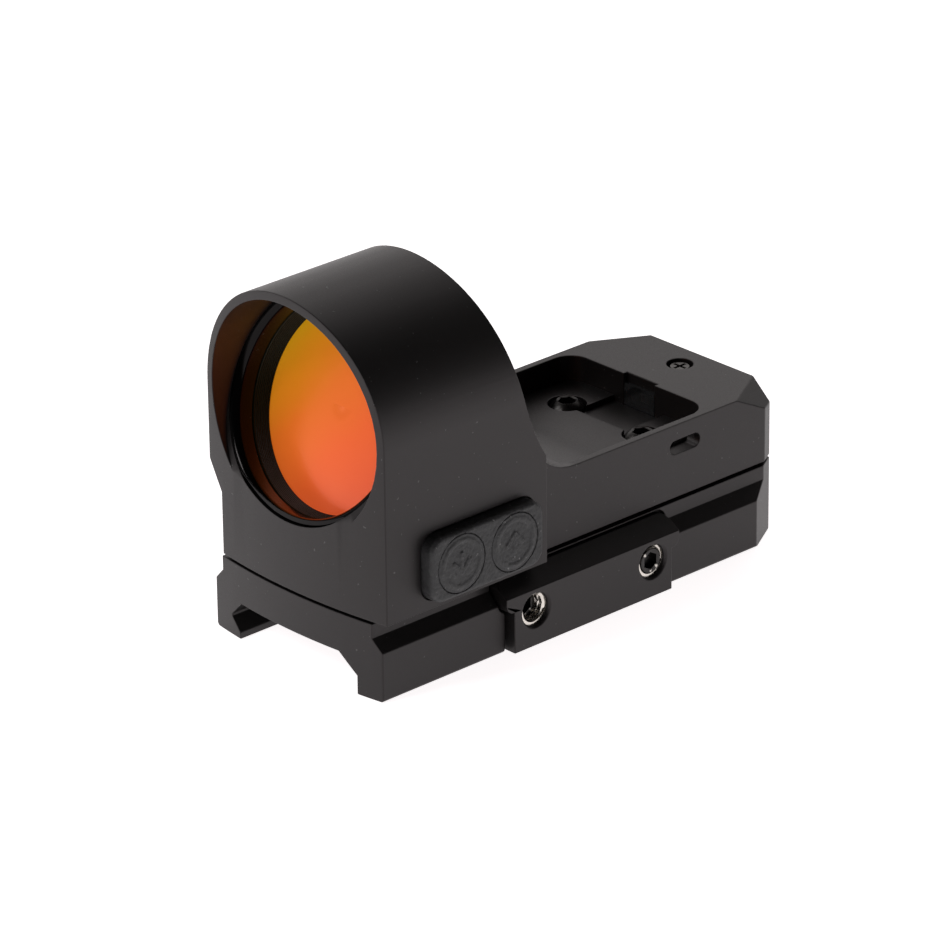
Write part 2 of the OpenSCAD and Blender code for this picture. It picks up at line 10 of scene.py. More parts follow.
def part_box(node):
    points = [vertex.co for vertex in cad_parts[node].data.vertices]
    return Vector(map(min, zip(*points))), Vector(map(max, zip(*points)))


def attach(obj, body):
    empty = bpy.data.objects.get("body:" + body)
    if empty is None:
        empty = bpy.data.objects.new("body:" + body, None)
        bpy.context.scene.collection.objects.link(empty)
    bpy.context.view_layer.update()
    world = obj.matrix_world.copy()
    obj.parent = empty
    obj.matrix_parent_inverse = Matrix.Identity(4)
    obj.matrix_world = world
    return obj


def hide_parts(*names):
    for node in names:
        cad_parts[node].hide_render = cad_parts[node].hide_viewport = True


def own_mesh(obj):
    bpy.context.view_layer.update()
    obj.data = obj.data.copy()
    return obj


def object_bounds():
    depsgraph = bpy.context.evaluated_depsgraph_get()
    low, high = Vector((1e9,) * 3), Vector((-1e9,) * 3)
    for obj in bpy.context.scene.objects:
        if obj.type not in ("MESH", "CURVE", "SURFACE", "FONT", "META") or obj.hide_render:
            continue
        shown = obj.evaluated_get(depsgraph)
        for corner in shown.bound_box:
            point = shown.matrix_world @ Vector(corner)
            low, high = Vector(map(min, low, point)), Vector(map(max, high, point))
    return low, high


MM = 0.001
EDGE_ANGLE = math.radians(24)  # edges of machined pieces sharper than this are broken by a round
TURNED_EDGE = math.radians(32)
MOULDED_EDGE = math.radians(50)
SAME_PLANE = 0.99999  # how far two face normals agree when the faces lie in one plane
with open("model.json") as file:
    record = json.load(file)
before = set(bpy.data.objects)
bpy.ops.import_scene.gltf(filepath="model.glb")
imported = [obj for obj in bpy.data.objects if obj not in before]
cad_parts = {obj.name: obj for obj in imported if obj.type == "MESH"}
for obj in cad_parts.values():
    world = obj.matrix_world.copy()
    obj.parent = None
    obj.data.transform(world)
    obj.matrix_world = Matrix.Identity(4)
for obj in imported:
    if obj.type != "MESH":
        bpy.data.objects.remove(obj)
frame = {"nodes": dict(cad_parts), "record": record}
cad_low, cad_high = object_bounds()
nodes = frame["nodes"]


# ---------------------------------------------------------------- shader helpers

FINE_RELIEF = 0.004 * MM

def new_material(name):
    """A node material, with its tree and its Principled shader."""
    material = bpy.data.materials.new(name)
    material.use_nodes = True
    tree = material.node_tree
    shader = tree.nodes["Principled BSDF"]
    return material, tree, shader


def add(tree, kind, **values):
    """A shader node with its sockets and properties set by name."""
    made = tree.nodes.new(kind)
    for name, value in values.items():
        if name in made.inputs:
            made.inputs[name].default_value = value
        else:
            setattr(made, name, value)
    return made


def link(tree, source, target):
    tree.links.new(source, target)


def place(tree):
    """Object coordinates, which are the part's own metres because every object sits at the origin."""
    return add(tree, "ShaderNodeTexCoord").outputs["Object"]


def noise_at(tree, scale, detail=3.0, roughness=0.55):
    texture = add(tree, "ShaderNodeTexNoise")
    texture.inputs["Scale"].default_value = scale
    texture.inputs["Detail"].default_value = detail
    texture.inputs["Roughness"].default_value = roughness
    link(tree, place(tree), texture.inputs["Vector"])
    return texture.outputs["Fac"]


def ramp(tree, source, stops):
    """Colours by the value of source: stops are (position, (r, g, b))."""
    node = add(tree, "ShaderNodeValToRGB")
    elements = node.color_ramp.elements
    while len(elements) < len(stops):
        elements.new(0.5)
    for element, (position, colour) in zip(elements, stops):
        element.position = position
        element.color = (*colour, 1.0)
    link(tree, source, node.inputs["Fac"])
    return node.outputs["Color"]


def spread(tree, source, low, high, to_low, to_high):
    """source mapped from low..high to to_low..to_high."""
    node = add(tree, "ShaderNodeMapRange")
    for name, value in zip(("From Min", "From Max", "To Min", "To Max"), (low, high, to_low, to_high)):
        node.inputs[name].default_value = value
    link(tree, source, node.inputs["Value"])
    return node.outputs["Result"]


def blend_colour(tree, factor, base, colour):
    """The colour of base, turned to one colour where factor is high."""
    mixed = add(tree, "ShaderNodeMix", data_type="RGBA")
    link(tree, factor, mixed.inputs["Factor"])
    link(tree, base, mixed.inputs["A"])
    mixed.inputs["B"].default_value = (*colour, 1.0)
    return mixed.outputs["Result"]


def bump(tree, shader, height, distance, strength):
    node = add(tree, "ShaderNodeBump")
    node.inputs["Strength"].default_value = strength
    node.inputs["Distance"].default_value = distance
    link(tree, height, node.inputs["Height"])
    link(tree, node.outputs["Normal"], shader.inputs["Normal"])


def anodised(name, tone, gloss, grain_depth, dust=0.5, shine=0.40):
    """Blasted and anodised aluminium: a fine even grain, faint clouding and specks of dust."""
    material, tree, shader = new_material(name)
    clouds = noise_at(tree, 90.0, 2.0)
    grain = noise_at(tree, 9000.0, 2.0, 0.7)
    specks = spread(tree, noise_at(tree, 1900.0, 1.0, 0.4), 0.76, 0.80, 0.0, dust)
    base = ramp(tree, clouds, [(0.3, [0.85 * c for c in tone]), (0.7, [1.15 * c for c in tone])])
    link(tree, blend_colour(tree, specks, base, (0.10, 0.10, 0.10)), shader.inputs["Base Color"])
    link(tree, spread(tree, grain, 0.3, 0.7, gloss - 0.05, gloss + 0.07), shader.inputs["Roughness"])
    shader.inputs["Specular IOR Level"].default_value = shine
    shader.inputs["Specular Tint"].default_value = (1.0, 0.93, 0.94, 1.0)
    bump(tree, shader, grain, grain_depth, 0.5)
    return material


def metal(name, colour, gloss, worn_and_glint=None):
    """Turned or plated metal with fine scratches, and with paler edges where a colour is given for them:
    partly worn bare metal, partly a painted glint on socket and slot edges.
    """
    material, tree, shader = new_material(name)
    scratches = noise_at(tree, 2500.0, 4.0, 0.65)
    base = ramp(tree, scratches, [(0.3, [0.82 * c for c in colour]), (0.7, colour)])
    if worn_and_glint:
        # Paler colour where Pointiness is high: partly edge wear, partly a painted glint.
        edge = add(tree, "ShaderNodeNewGeometry").outputs["Pointiness"]
        base = blend_colour(tree, spread(tree, edge, 0.55, 0.68, 0.0, 1.0), base, worn_and_glint)
    link(tree, base, shader.inputs["Base Color"])
    link(tree, spread(tree, scratches, 0.3, 0.7, gloss - 0.06, gloss + 0.08), shader.inputs["Roughness"])
    shader.inputs["Metallic"].default_value = 1.0
    bump(tree, shader, scratches, FINE_RELIEF, 0.4)
    return material


def plastic(name, colour, gloss):
    """Moulded or printed surface with a light mottle."""
    material, tree, shader = new_material(name)
    mottle = noise_at(tree, 1500.0, 3.0)
    darker = [0.85 * c for c in colour]
    lighter = [min(1, 1.12 * c) for c in colour]
    link(tree, ramp(tree, mottle, [(0.3, darker), (0.7, lighter)]), shader.inputs["Base Color"])
    link(tree, spread(tree, mottle, 0.3, 0.7, gloss - 0.05, gloss + 0.05), shader.inputs["Roughness"])
    bump(tree, shader, mottle, FINE_RELIEF, 0.4)
    return material


def rubber(name):
    """Matt silicone rubber: a pebbled grain, rubbed paler on its high spots, with specks of dust."""
    material, tree, shader = new_material(name)
    grain = noise_at(tree, 2600.0, 5.0, 0.75)
    scuffs = noise_at(tree, 700.0, 4.0, 0.7)
    base = ramp(tree, grain, [(0.35, (0.012, 0.012, 0.013)), (0.68, (0.040, 0.040, 0.042))])
    paler = blend_colour(tree, spread(tree, scuffs, 0.56, 0.72, 0.0, 0.45), base, (0.09, 0.09, 0.09))
    specks = spread(tree, noise_at(tree, 2300.0, 1.0, 0.4), 0.73, 0.78, 0.0, 0.6)
    link(tree, blend_colour(tree, specks, paler, (0.22, 0.22, 0.22)), shader.inputs["Base Color"])
    link(tree, spread(tree, grain, 0.3, 0.7, 0.48, 0.72), shader.inputs["Roughness"])
    shader.inputs["Specular IOR Level"].default_value = 0.5
    bump(tree, shader, grain, 0.06 * MM, 0.9)
    return material


def coated_lens(name, low, high):
    """Amber mirror coating, yellow at the top far edge and salmon red at the low near edge, with the same
    colours glowing by emission: a painted glow that stands in for the bright surroundings the coating
    reflects.
    """
    material, tree, shader = new_material(name)
    split = add(tree, "ShaderNodeSeparateXYZ")
    link(tree, place(tree), split.inputs["Vector"])
    across = spread(tree, split.outputs["X"], low.x, high.x, 0.0, 0.55)
    down = spread(tree, split.outputs["Z"], high.z, low.z, 0.0, 0.45)
    total = add(tree, "ShaderNodeMath", operation="ADD")
    link(tree, across, total.inputs[0])
    link(tree, down, total.inputs[1])
    haze = noise_at(tree, 160.0, 2.0)
    drift = add(tree, "ShaderNodeMath", operation="MULTIPLY_ADD")
    link(tree, haze, drift.inputs[0])
    drift.inputs[1].default_value = 0.06
    link(tree, total.outputs["Value"], drift.inputs[2])
    colour = ramp(tree, drift.outputs["Value"], [
        (0.15, (0.52, 0.31, 0.005)), (0.30, (0.66, 0.22, 0.008)), (0.45, (0.72, 0.145, 0.014)),
        (0.62, (0.72, 0.105, 0.020)), (0.80, (0.66, 0.082, 0.024)), (1.0, (0.60, 0.088, 0.034)),
    ])
    link(tree, colour, shader.inputs["Base Color"])
    # Painted glow: the coating colours are emitted, standing in for reflected light.
    link(tree, colour, shader.inputs["Emission Color"])
    link(tree, spread(tree, haze, 0.3, 0.7, 0.29, 0.33), shader.inputs["Roughness"])
    shader.inputs["Metallic"].default_value = 0.30
    # Strength of the painted glow.
    shader.inputs["Emission Strength"].default_value = 0.60
    shader.inputs["Coat Weight"].default_value = 0.12
    shader.inputs["Coat Roughness"].default_value = 0.05
    return material


def clear_glass(name):
    material, tree, shader = new_material(name)
    smears = noise_at(tree, 400.0, 3.0)
    link(tree, spread(tree, smears, 0.3, 0.7, 0.01, 0.06), shader.inputs["Roughness"])
    link(tree, ramp(tree, smears, [(0.3, (0.10, 0.11, 0.12)), (0.7, (0.14, 0.15, 0.16))]),
         shader.inputs["Base Color"])
    shader.inputs["Transmission Weight"].default_value = 0.9
    shader.inputs["IOR"].default_value = 1.5
    return material


# ---------------------------------------------------------------- mesh helpers

def finish_piece(name, mesh, material, body, node_names=()):
    """A mesh becomes a piece that rides on a body and stands for CAD nodes."""
    piece = bpy.data.objects.new(name, mesh)
    bpy.context.scene.collection.objects.link(piece)
    mesh.materials.clear()
    mesh.materials.append(material)
    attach(piece, body)
    if node_names:
        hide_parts(*node_names)
    return piece


def mark_sharp(bm, angle):
    """Smooth faces, with the edges sharper than angle left crisp."""
    for face in bm.faces:
        face.smooth = True
    for edge in bm.edges:
        edge.smooth = len(edge.link_faces) == 2 and edge.calc_face_angle(0.0) < angle


def machined(node, material, body, width=0.15 * MM, crisp=None):
    """A CAD node's shape with its sharp edges broken by a fine round, as on a machined part.

    Inner corners, and edges whose middle passes the crisp test, stay as they are.
    """
    bm = bmesh.new()
    bm.from_mesh(nodes[node].data)
    bmesh.ops.remove_doubles(bm, verts=bm.verts, dist=0.5e-6)
    bmesh.ops.dissolve_limit(bm, angle_limit=math.radians(0.25), verts=bm.verts, edges=bm.edges)
    mark_sharp(bm, EDGE_ANGLE)
    rounded = bm.edges.layers.float.new("bevel_weight_edge")
    for edge in bm.edges:
        middle = (edge.verts[0].co + edge.verts[1].co) / 2
        kept = edge.smooth or not edge.is_convex or (crisp and crisp(middle))
        edge[rounded] = 0.0 if kept else 1.0
    mesh = bpy.data.meshes.new(node + "_finished")
    bm.to_mesh(mesh)
    bm.free()
    piece = finish_piece(node + "_finished", mesh, material, body, [node])
    round_edges = piece.modifiers.new("edges", "BEVEL")
    round_edges.width = width
    round_edges.segments = 2
    round_edges.limit_method = "WEIGHT"
    round_edges.use_clamp_overlap = False
    split = piece.modifiers.new("split", "TRIANGULATE")
    split.min_vertices = 5
    graph = bpy.context.evaluated_depsgraph_get()
    finished = bpy.data.meshes.new_from_object(piece.evaluated_get(graph))
    piece.modifiers.clear()
    piece.data = finished
    flat_normals(finished)
    return piece


def flat_normals(mesh):
    """Shades flat faces flat: each corner leans to the largest flat region that it smoothly belongs to."""
    bm = bmesh.new()
    bm.from_mesh(mesh)
    bm.faces.ensure_lookup_table()
    region = [None] * len(bm.faces)
    areas = []
    for face in bm.faces:
        if region[face.index] is not None:
            continue
        number, total, pending = len(areas), 0.0, [face]
        region[face.index] = number
        while pending:
            current = pending.pop()
            total += current.calc_area()
            for edge in current.edges:
                for other in edge.link_faces:
                    if region[other.index] is None and other.normal.dot(face.normal) > SAME_PLANE:
                        region[other.index] = number
                        pending.append(other)
        areas.append(total)
    normals = []
    for face in bm.faces:
        for loop in face.loops:
            counted = {}
            for other in loop.vert.link_faces:
                if other.normal.dot(face.normal) > math.cos(math.radians(40)):
                    counted[region[other.index]] = other.normal
            total = Vector((0, 0, 0))
            for number, normal in counted.items():
                total += normal * areas[number] ** 1.5
            normals.append(total.normalized() if total.length else face.normal.copy())
    bm.free()
    for polygon in mesh.polygons:
        polygon.use_smooth = True
    mesh.normals_split_custom_set(normals)


def turned(name, rows, material, body, at, axis="Z", node_names=(), segments=64):
    """A turned piece. Each row is (radius, height); the radius may be a function of angle and height.

    A radius of 0 closes the surface. Rows that don't start and end at 0 close on each other, as a ring.
    """
    turn = {"X": Matrix.Rotation(math.radians(90), 3, "Y"), "Z": Matrix.Identity(3)}[axis]
    bm = bmesh.new()
    rings = []
    for radius, height in rows:
        if radius == 0:
            rings.append([bm.verts.new(turn @ Vector((0, 0, height)) + at)])
            continue
        ring = []
        for i in range(segments):
            angle = 2 * math.pi * i / segments
            r = radius(angle, height) if callable(radius) else radius
            point = Vector((r * math.cos(angle), r * math.sin(angle), height))
            ring.append(bm.verts.new(turn @ point + at))
        rings.append(ring)
    closed = rows[0][0] != 0
    for k in range(len(rings) if closed else len(rings) - 1):
        low, high = rings[k], rings[(k + 1) % len(rings)]
        for i in range(segments):
            j = (i + 1) % segments
            if len(low) == 1:
                bm.faces.new((low[0], high[j], high[i]))
            elif len(high) == 1:
                bm.faces.new((low[i], low[j], high[0]))
            else:
                bm.faces.new((low[i], low[j], high[j], high[i]))
    bmesh.ops.recalc_face_normals(bm, faces=bm.faces)
    mark_sharp(bm, TURNED_EDGE)
    mesh = bpy.data.meshes.new(name)
    bm.to_mesh(mesh)
    bm.free()
    return finish_piece(name, mesh, material, body, node_names)


def hexagon(corner_r):
    """The radius of a hexagon, by angle."""
    def radius(angle, _height):
        return corner_r * math.cos(math.pi / 6) / math.cos(angle % (math.pi / 3) - math.pi / 6)
    return radius


def thread(crest_r, depth, pitch):
    """The radius of a right-handed thread, by angle and height."""
    def radius(angle, height):
        phase = (height / pitch - angle / (2 * math.pi)) % 1.0
        return crest_r - depth * min(1.0, max(0.0, 2.6 * abs(2 * phase - 1) - 0.8))
    return radius


def thread_rows(crest_r, depth, pitch, start, end):
    """Rows that draw a thread from start to end."""
    count = math.ceil((end - start) / pitch * 10)
    radius = thread(crest_r, depth, pitch)
    return [(radius, start + (end - start) * i / count) for i in range(count + 1)]


def smooth(low, high, value):
    """0 below low, 1 above high, and a smooth step between them."""
    t = min(1.0, max(0.0, (value - low) / (high - low)))
    return t * t * (3 - 2 * t)


# ---------------------------------------------------------------- materials

BLACK = (0.0050, 0.0045, 0.0045)
mats = {
    "black_anodised": anodised("black_anodised", BLACK, 0.42, 0.006 * MM),
    "dark_spacer": anodised("dark_spacer", (0.006, 0.008, 0.003), 0.40, 0.004 * MM, dust=0.0, shine=0.15),
    "gloss_black": anodised("gloss_black", (0.001, 0.001, 0.001), 0.11, 0.001 * MM, dust=0.2, shine=0.12),
    "bare_thread": metal("bare_thread", (0.80, 0.76, 0.70), 0.22),
    "coated_glass": coated_lens("coated_glass", *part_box("lens")),
    "window_glass": clear_glass("window_glass"),
    "steel": metal("steel", (0.62, 0.60, 0.57), 0.28),
    "black_steel": metal("black_steel", (0.045, 0.043, 0.042), 0.30, worn_and_glint=(0.60, 0.57, 0.53)),
    # adjuster_steel: dark instead of the screws' bare steel, as painted shade of the holes the adjuster
    # screws sit in; its paler edges are partly wear, partly painted glints.
    "adjuster_steel": metal("adjuster_steel", (0.06, 0.057, 0.054), 0.28, worn_and_glint=(0.45, 0.43, 0.40)),
    "cell_steel": metal("cell_steel", (0.70, 0.70, 0.68), 0.24),
    "rubber": rubber("rubber"),
    "gold_spring": metal("gold_spring", (0.85, 0.62, 0.25), 0.22),
    "brass": metal("brass", (0.70, 0.50, 0.20), 0.33),
    "board": plastic("board", (0.02, 0.10, 0.04), 0.35),
    "chip": plastic("chip", (0.02, 0.02, 0.02), 0.5),
    "flex": plastic("flex", (0.45, 0.20, 0.03), 0.3),
    "switch_cap": metal("switch_cap", (0.55, 0.55, 0.54), 0.35),
    "led": plastic("led", (0.85, 0.78, 0.55), 0.2),
}
for part in frame["record"]["subparts"]:
    data = nodes[part["node"]].data
    data.materials.clear()
    data.materials.append(mats[part["material_slot"]])


# ---------------------------------------------------------------- pieces

BOW_R = 86 * MM  # radius of the front's bow, seen from above
HOOD_CENTRE_Z = 26.9 * MM
HOOD_BORE_R = 14.8 * MM  # just outside the widest bore in the hood
HOOD_BORE_END = -12.5 * MM  # along Y
LENS_LEAN = math.radians(21.8)
LENS_RING_AT = Vector((0, -26.26, 27.5)) * MM
PITCH = 0.7 * MM
THREAD_DEPTH = 0.32 * MM
SCREW_R = 1.96 * MM
TAPPED_R = SCREW_R + 0.06 * MM
SLEEVE_R = 2.045 * MM
PEBBLE = 0.045 * MM


def hood_face(x):
    """Where the hood's bowed front face lies along Y."""
    return cad_low.y + BOW_R - math.sqrt(BOW_R ** 2 - x ** 2)


def inside_hood(middle):
    """True for an edge hidden in the hood's bores, where the lens cell crosses the mouth."""
    radius = math.hypot(middle.x, middle.z - HOOD_CENTRE_Z)
    behind_face = middle.y > hood_face(middle.x) + 0.02 * MM
    return radius < HOOD_BORE_R and behind_face and middle.y < HOOD_BORE_END


def along_lens(piece):
    """Moves a piece turned about Z onto the leaning axis of the lens cell."""
    axis = Vector((0, math.cos(LENS_LEAN), -math.sin(LENS_LEAN)))
    turn = Vector((0, 0, 1)).rotation_difference(axis).to_matrix().to_4x4()
    piece.data.transform(Matrix.Translation(LENS_RING_AT) @ turn)


def arc(middle_r, middle_h, radius, start, end, steps=8):
    """Rows along an arc in a turned piece's profile, from one angle in degrees to another."""
    turns = (math.radians(start + (end - start) * i / steps) for i in range(steps + 1))
    return [((middle_r + radius * math.cos(a)) * MM, (middle_h + radius * math.sin(a)) * MM) for a in turns]


def lens_group():
    """The retaining ring with rounded lips, and the grooved spacer behind it, on the lens axis."""
    lip = 0.28
    rows = [(14.28 * MM, 2.90 * MM), (14.28 * MM, 0.06 * MM)]
    rows += arc(14.4, 1.15, 1.12, 262, 185, 14)
    rows += arc(13.25 + lip, 2.90 - lip, lip, 180, 90)
    ring = turned("lens_retaining_ring_polished", rows, mats["gloss_black"], "sight_body",
                  Vector((0, 0, 0)), node_names=["lens_retaining_ring"],
                  segments=160)
    along_lens(ring)
    for vertex in ring.data.vertices:
        vertex.co.y = max(vertex.co.y, hood_face(vertex.co.x) + 0.3 * MM)
    rows = [(14.27, 2.93), (13.25, 2.93)]
    grooves = 9
    for i in range(grooves):
        t = (i + 0.5) / grooves
        r, h = 13.22 - 0.62 * t, 2.95 + 2.05 * t
        rows += [(r + 0.02, h - 0.08), (r, h - 0.05), (r, h + 0.05), (r + 0.09, h + 0.09)]
    rows += [(12.75, 5.1), (14.27, 5.29)]
    rows = [(r * MM, h * MM) for r, h in rows]
    spacer = turned("lens_spacer_grooved", rows, mats["dark_spacer"], "sight_body",
                    Vector((0, 0, 0)), node_names=["lens_spacer"], segments=128)
    along_lens(spacer)


def cross_screw(node, body):
    """A hex socket screw along X, threaded from the sight's middle plane to its tip.

    It returns the point where the screw's axis crosses that plane.
    """
    low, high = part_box(node)
    at = Vector((0, (low.y + high.y) / 2, (low.z + high.z) / 2))
    head, tip = low.x, high.x
    under_head = head + 1.83 * MM
    socket = hexagon(1.45 * MM)
    tip_socket = hexagon(1.15 * MM)
    rows = [(0, head + 1.3 * MM), (socket, head + 1.3 * MM), (socket, head + 0.06 * MM),
            (1.62 * MM, head), (2.55 * MM, head), (2.69 * MM, head + 0.06 * MM),
            (2.75 * MM, head + 0.2 * MM), (2.75 * MM, under_head - 0.05 * MM),
            (2.70 * MM, under_head), (SCREW_R, under_head)]
    rows += thread_rows(SCREW_R, THREAD_DEPTH, PITCH, 0.0, tip - 0.36 * MM)
    rows += [(1.58 * MM, tip - 0.04 * MM), (1.52 * MM, tip), (1.22 * MM, tip),
             (tip_socket, tip - 0.07 * MM), (tip_socket, tip - 0.9 * MM), (0, tip - 0.9 * MM)]
    turned(node + "_threaded", rows, mats["black_steel"], body, at, "X", [node], 72)
    return at


def clamp_thread(name, at):
    """The bare tapped thread in the clamp bar round a cross screw, down to the bar's inner side."""
    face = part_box("clamp_bar")[1].x
    start, end = face - 5.0 * MM, face - 0.55 * MM
    inner = thread_rows(TAPPED_R, THREAD_DEPTH, PITCH, start, end)
    rows = inner + [(SLEEVE_R, end), (SLEEVE_R, start)]
    turned(name, rows, mats["bare_thread"], "clamp", at, "X", segments=72)


def mounting_screws():
    """Two button head screws with hex sockets, joined in one piece."""
    low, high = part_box("mounting_screws")
    head_r, dome, head_z = 2.15 * MM, 1.15 * MM, 9.8 * MM
    shank_r, socket_r = 1.2 * MM, 1.3 * MM
    dome_r = (head_r ** 2 + dome ** 2) / (2 * dome)
    top = high.z
    socket = hexagon(1.15 * MM)
    rows = [(0, low.z), (1.0 * MM, low.z), (shank_r, low.z + 0.3 * MM)]
    rows += thread_rows(shank_r, 0.2 * MM, 0.45 * MM, low.z + 0.35 * MM, low.z + 5 * MM)
    rows += [(shank_r, head_z), (head_r - 0.05 * MM, head_z), (head_r, head_z + 0.05 * MM)]
    for i in range(9):
        r = head_r + (socket_r - head_r) * i / 8
        rows.append((r, top - dome_r + math.sqrt(dome_r ** 2 - r ** 2)))
    rim, floor = rows[-1][1], top - 1.3 * MM
    rows += [(1.22 * MM, rim - 0.01 * MM), (socket, rim - 0.1 * MM), (socket, floor), (0, floor)]
    halves = []
    for x in (low.x + head_r, high.x - head_r):
        halves.append(turned("mounting_screw", rows, mats["black_steel"], "sight_body",
                             Vector((x, (low.y + high.y) / 2, 0)), segments=48))
    bm = bmesh.new()
    for half in halves:
        bm.from_mesh(half.data)
        bpy.data.objects.remove(half)
    mesh = bpy.data.meshes.new("mounting_screws_domed")
    bm.to_mesh(mesh)
    bm.free()
    finish_piece("mounting_screws_domed", mesh, mats["black_steel"], "sight_body",
                 ["mounting_screws"])


def to_segment(y, z, a, b):
    """Distance of a point from the line between a and b."""
    along = (b[0] - a[0], b[1] - a[1])
    t = ((y - a[0]) * along[0] + (z - a[1]) * along[1]) / (along[0] ** 2 + along[1] ** 2)
    t = min(1.0, max(0.0, t))
    return math.hypot(y - a[0] - t * along[0], z - a[1] - t * along[1])


def button_relief(y, z, up):
    """Height in millimetres of a button's ring and arrow at a point off its centre."""
    r = math.hypot(y, z)
    ring = 0.10 * smooth(0.45, 0.1, abs(r - 2.9))
    tip = 1.1 * up
    arms = min(to_segment(y, z, (0, tip), (-1.2, tip - 1.3 * up)),
               to_segment(y, z, (0, tip), (1.2, tip - 1.3 * up)),
               to_segment(y, z, (0, tip), (0, -1.2 * up)))
    return ring + 0.13 * smooth(0.42, 0.16, arms)


def pebble(point, amount):
    """Moulded roughness of the rubber, in the same unit as amount."""
    return amount * noise.fractal(point / MM * 2.4, 0.7, 2.0, 4)


def button_pad():
    """The moulded pad: rounded edges, pebbled face, and a well for each button."""
    low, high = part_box("button_pad")
    middle = (low + high) / 2
    half_y, half_z = (high.y - low.y) / 2, (high.z - low.z) / 2
    corner, edge = 2.0 * MM, 0.55 * MM
    well_r, well_depth = 3.70 * MM, 1.0 * MM
    wells = [(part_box(node)[0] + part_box(node)[1]) / 2 for node in ("up_button", "down_button")]
    bm = bmesh.new()
    steps_y, steps_z = 150, 72
    grid = []
    for i in range(steps_y + 1):
        row = []
        for j in range(steps_z + 1):
            y = half_y * (2 * i / steps_y - 1)
            z = half_z * (2 * j / steps_z - 1)
            over_y = max(0.0, abs(y) - (half_y - corner))
            over_z = max(0.0, abs(z) - (half_z - corner))
            reach = math.hypot(over_y, over_z)
            if reach > corner:
                y -= math.copysign(over_y * (1 - corner / reach), y)
                z -= math.copysign(over_z * (1 - corner / reach), z)
                reach = corner
            if over_y and over_z:
                inside = corner - reach
            else:
                inside = min(half_y - abs(y), half_z - abs(z))
            fall = max(0.0, edge - inside)
            x = high.x - 0.06 * MM - (edge - math.sqrt(max(0.0, edge ** 2 - fall ** 2)))
            for well in wells:
                r = math.hypot(y + middle.y - well.y, z + middle.z - well.z)
                x -= well_depth * smooth(well_r, well_r - 0.16 * MM, r)
            point = Vector((x, y + middle.y, z + middle.z))
            point.x += pebble(point, PEBBLE) * smooth(0.0, 0.3 * MM, inside)
            point.x = min(point.x, high.x)
            row.append(bm.verts.new(point))
        grid.append(row)
    for i in range(steps_y):
        for j in range(steps_z):
            bm.faces.new((grid[i][j], grid[i + 1][j], grid[i + 1][j + 1], grid[i][j + 1]))
    bmesh.ops.remove_doubles(bm, verts=bm.verts, dist=0.004 * MM)
    rim = [edge for edge in bm.edges if edge.is_boundary]
    skirt = bmesh.ops.extrude_edge_only(bm, edges=rim)["geom"]
    lower = [item for item in skirt if isinstance(item, bmesh.types.BMVert)]
    for vertex in lower:
        vertex.co.x = low.x
    back = [edge for edge in bm.edges if edge.is_boundary]
    bmesh.ops.holes_fill(bm, edges=back, sides=0)
    bmesh.ops.recalc_face_normals(bm, faces=bm.faces)
    mark_sharp(bm, MOULDED_EDGE)
    mesh = bpy.data.meshes.new("button_pad_moulded")
    bm.to_mesh(mesh)
    bm.free()
    finish_piece("button_pad_moulded", mesh, mats["rubber"], "sight_body", ["button_pad"])


def button(node, body, up):
    """A moulded button with a soft raised ring and arrow, in the pad's well."""
    low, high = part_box(node)
    at = (low + high) / 2
    face = high.x - 0.17 * MM
    rim, edge = 3.66 * MM, 0.16 * MM
    rings, segments = 44, 120
    bm = bmesh.new()
    for k in range(rings + 1):
        r = rim * k / rings
        fall = max(0.0, edge - (rim - r))
        base_x = face - (edge - math.sqrt(max(0.0, edge ** 2 - fall ** 2)))
        count = segments if k else 1
        ring = []
        for i in range(count):
            angle = 2 * math.pi * i / segments
            y, z = r * math.cos(angle), r * math.sin(angle)
            point = Vector((base_x, at.y + y, at.z + z))
            point.x += button_relief(y / MM, z / MM, up) * MM + pebble(point, PEBBLE)
            point.x = min(point.x, high.x)
            ring.append(bm.verts.new(point))
        if k == 1:
            for i in range(segments):
                bm.faces.new((previous[0], ring[i], ring[(i + 1) % segments]))
        elif k > 1:
            for i in range(segments):
                j = (i + 1) % segments
                bm.faces.new((previous[i], ring[i], ring[j], previous[j]))
        previous = ring
    for r, x in ((rim, face - 0.8 * MM), (1.2 * MM, face - 0.85 * MM), (1.2 * MM, low.x)):
        ring = []
        for i in range(segments):
            angle = 2 * math.pi * i / segments
            ring.append(bm.verts.new((x, at.y + r * math.cos(angle), at.z + r * math.sin(angle))))
        for i in range(segments):
            j = (i + 1) % segments
            bm.faces.new((previous[i], ring[i], ring[j], previous[j]))
        previous = ring
    bm.faces.new(previous)
    bmesh.ops.recalc_face_normals(bm, faces=bm.faces)
    mark_sharp(bm, MOULDED_EDGE)
    mesh = bpy.data.meshes.new(node + "_moulded")
    bm.to_mesh(mesh)
    bm.free()
    finish_piece(node + "_moulded", mesh, mats["rubber"], body, [node])


def compressed_spring(node, body):
    """A backlash spring: a copy of its CAD node's mesh, with its own mesh data, riding on its body."""
    piece = finish_piece(node + "_coiled", nodes[node].data.copy(), mats["steel"], body, [node])
    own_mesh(piece)


machined("housing", mats["black_anodised"], "sight_body", crisp=inside_hood)
machined("rail_base", mats["black_anodised"], "sight_body")
machined("clamp_bar", mats["black_anodised"], "clamp", 0.12 * MM)
machined("elevation_screw", mats["adjuster_steel"], "elevation_adjuster", 0.05 * MM)
machined("windage_screw", mats["adjuster_steel"], "windage_adjuster", 0.05 * MM)
lens_group()
clamp_thread("clamp_thread_front", cross_screw("front_cross_screw", "front_screw"))
clamp_thread("clamp_thread_rear", cross_screw("rear_cross_screw", "rear_screw"))
mounting_screws()
button_pad()
button("up_button", "up_key", 1)
button("down_button", "down_key", -1)
compressed_spring("windage_spring", "sight_body")
compressed_spring("elevation_spring", "windage_stage")


# ---------------------------------------------------------------- stage, light and camera

BACKDROP_SIDE = Vector((-0.67, 0.62, 0.36)).normalized()
LENS_SIDE = Vector((-0.67, -0.73, 0.13)).normalized()


